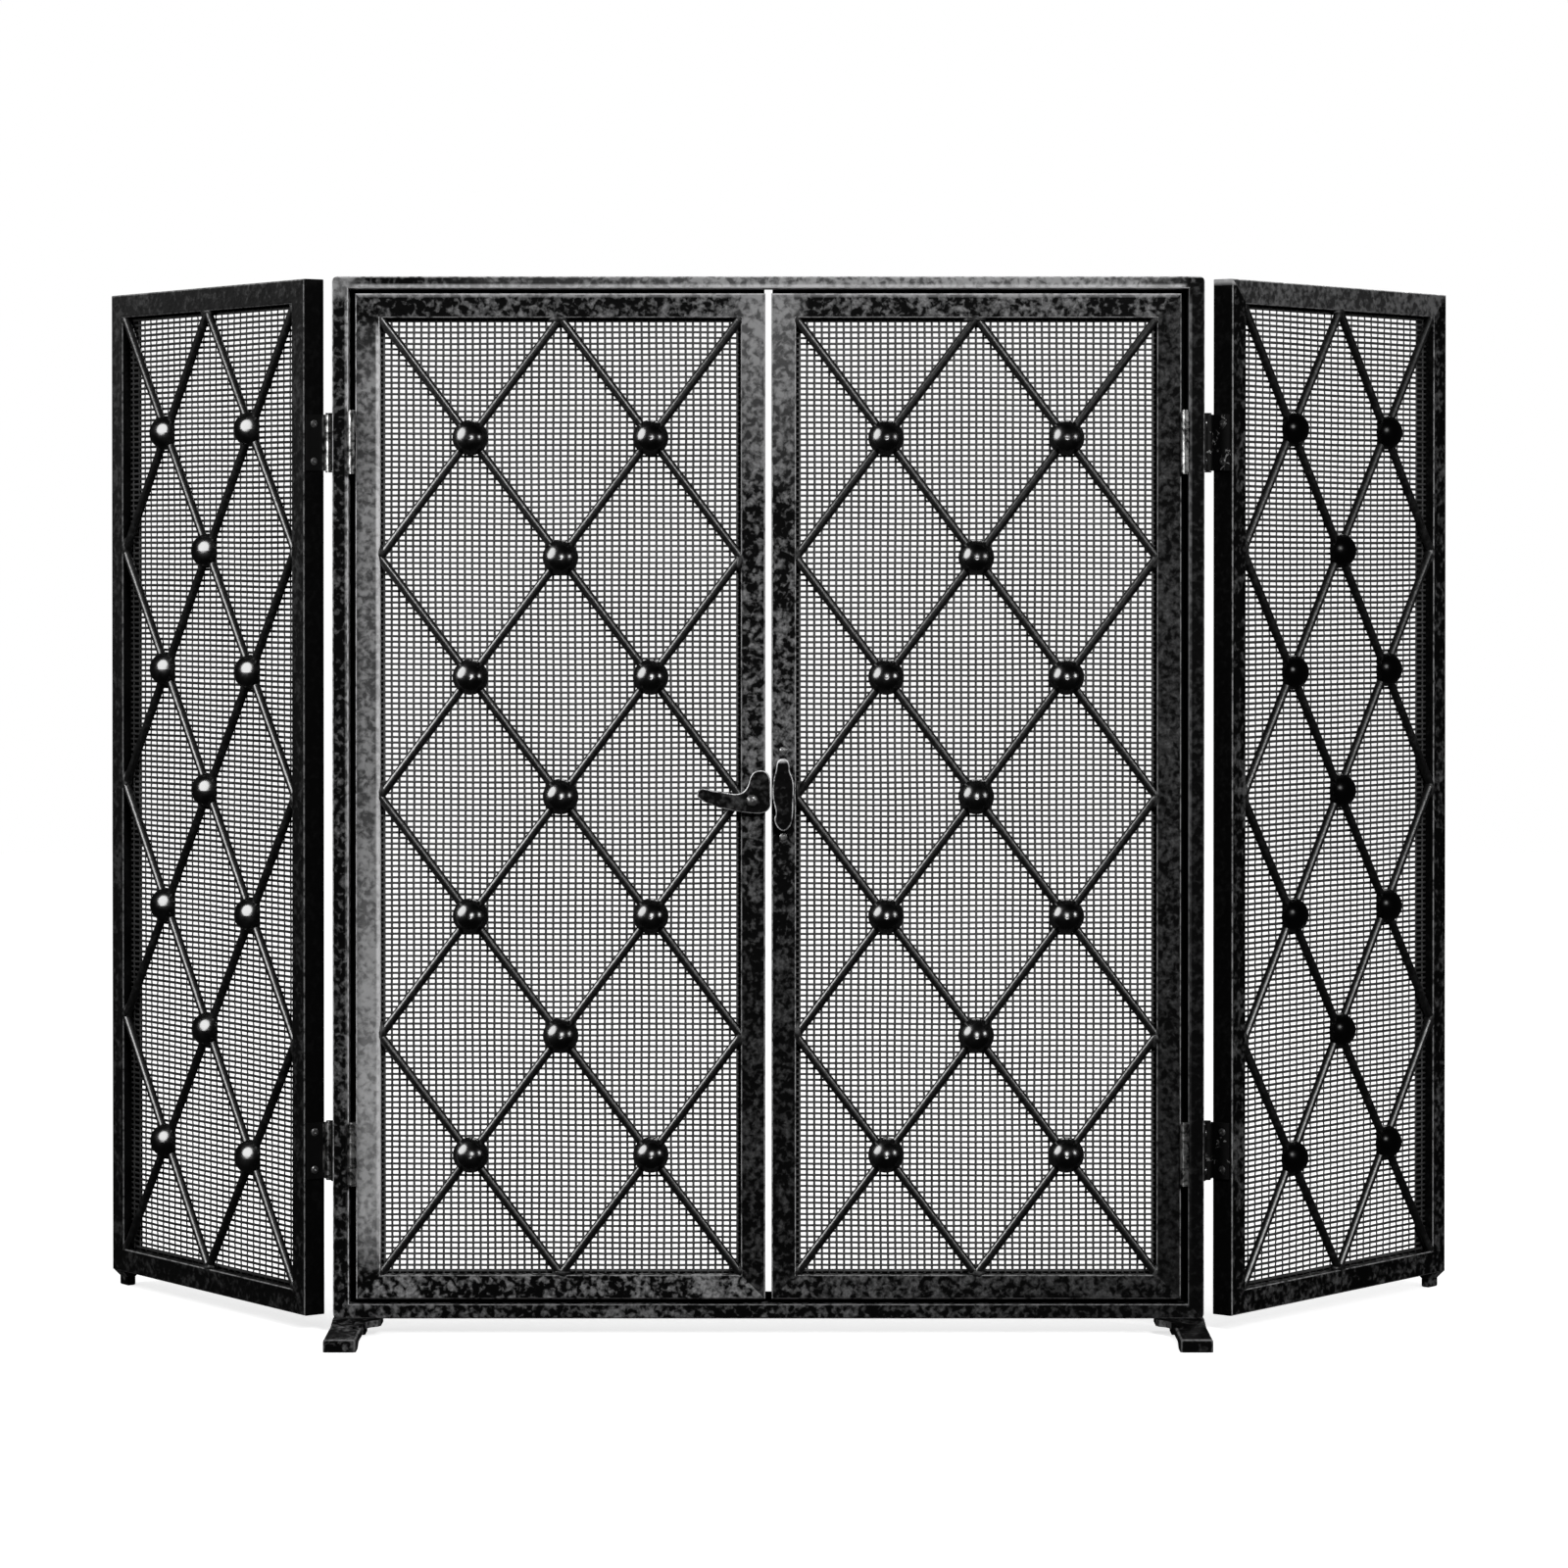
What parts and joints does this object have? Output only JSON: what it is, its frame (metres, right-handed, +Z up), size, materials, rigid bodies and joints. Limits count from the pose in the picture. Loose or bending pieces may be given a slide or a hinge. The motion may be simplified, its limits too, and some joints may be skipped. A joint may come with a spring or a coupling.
{
  "type": "fireplace screen",
  "caption": "Free-standing folding fireplace screen with a centre frame, hinged mesh doors with a latch, folding mesh wings, and a diamond rod lattice with domes.",
  "frame": {"origin": "on the floor, at the centre of the whole screen's box in plan, with the wings as they stand at rest", "axes": "+Z up; +X along the centre frame, to the viewer's right; the screen faces -Y, the room, and the wings reach back to +Y"},
  "size_m": [1.0579, 0.3482, 0.787],
  "materials": {
    "frame_iron": "semi-gloss black, hand-rubbed with grey mottling and lighter worn edges",
    "rod_iron": "semi-gloss black over hammered round rod, rubbed grey on the upper side",
    "dome_gloss": "gloss black pressed domes",
    "mesh_wire": "matt black woven wire",
    "hinge_iron": "black over steel, rubbed bright on the barrels",
    "screw_steel": "darkened steel with worn bright heads",
    "latch_iron": "semi-gloss black forging with lighter edges",
    "foot_iron": "semi-gloss black forging, scuffed at the toes",
    "strip_iron": "satin black strip"
  },
  "bodies": {
    "centre_frame": {"door_hinge_frame_leaves": "hinge_iron", "door_stop_strips": "strip_iron", "frame_bottom_rail": "frame_iron", "frame_left_stile": "frame_iron", "frame_right_stile": "frame_iron", "frame_top_rail": "frame_iron", "front_feet": "foot_iron", "hinge_pins": "hinge_iron", "wing_hinge_frame_leaves": "hinge_iron", "wing_hinge_frame_screws": "screw_steel"},
    "left_door": {"latch_boss": "latch_iron", "latch_pivot": "screw_steel", "left_door_bottom_rail": "frame_iron", "left_door_domes": "dome_gloss", "left_door_hinge_leaves": "hinge_iron", "left_door_hinge_stile": "frame_iron", "left_door_meeting_stile": "frame_iron", "left_door_mesh": "mesh_wire", "left_door_retainer": "strip_iron", "left_door_rods_falling": "rod_iron", "left_door_rods_rising": "rod_iron", "left_door_top_rail": "frame_iron"},
    "right_door": {"keeper": "latch_iron", "keeper_screws": "screw_steel", "right_door_bottom_rail": "frame_iron", "right_door_domes": "dome_gloss", "right_door_hinge_leaves": "hinge_iron", "right_door_hinge_stile": "frame_iron", "right_door_meeting_stile": "frame_iron", "right_door_mesh": "mesh_wire", "right_door_retainer": "strip_iron", "right_door_rods_falling": "rod_iron", "right_door_rods_rising": "rod_iron", "right_door_top_rail": "frame_iron"},
    "left_wing": {"left_wing_bottom_rail": "frame_iron", "left_wing_domes": "dome_gloss", "left_wing_hinge_leaves": "hinge_iron", "left_wing_hinge_screws": "screw_steel", "left_wing_inner_stile": "frame_iron", "left_wing_mesh": "mesh_wire", "left_wing_outer_stile": "frame_iron", "left_wing_peg": "foot_iron", "left_wing_retainer": "strip_iron", "left_wing_rods_falling": "rod_iron", "left_wing_rods_rising": "rod_iron", "left_wing_top_rail": "frame_iron"},
    "right_wing": {"right_wing_bottom_rail": "frame_iron", "right_wing_domes": "dome_gloss", "right_wing_hinge_leaves": "hinge_iron", "right_wing_hinge_screws": "screw_steel", "right_wing_inner_stile": "frame_iron", "right_wing_mesh": "mesh_wire", "right_wing_outer_stile": "frame_iron", "right_wing_peg": "foot_iron", "right_wing_retainer": "strip_iron", "right_wing_rods_falling": "rod_iron", "right_wing_rods_rising": "rod_iron", "right_wing_top_rail": "frame_iron"},
    "latch_lever": {"latch_lever": "latch_iron"}
  },
  "joints": [
    {"name": "left_door_hinge", "type": "hinge", "parent": "centre_frame", "child": "left_door", "pos_m": [-0.31609, -0.09568, 0], "axis": [0, 0, -1], "range_deg": [0, 135]},
    {"name": "right_door_hinge", "type": "hinge", "parent": "centre_frame", "child": "right_door", "pos_m": [0.30271, -0.09568, 0], "axis": [0, 0, 1], "range_deg": [0, 135]},
    {"name": "left_wing_hinge", "type": "hinge", "parent": "centre_frame", "child": "left_wing", "pos_m": [-0.33494, -0.07088, 0], "axis": [0, 0, -1], "range_deg": [-54, 124]},
    {"name": "right_wing_hinge", "type": "hinge", "parent": "centre_frame", "child": "right_wing", "pos_m": [0.32156, -0.07088, 0], "axis": [0, 0, 1], "range_deg": [-50.65, 127]},
    {"name": "latch_turn", "type": "hinge", "parent": "left_door", "child": "latch_lever", "pos_m": [-0.01869, -0.09238, 0.398], "axis": [0, 1, 0], "range_deg": [-20, 35]}
  ]
}
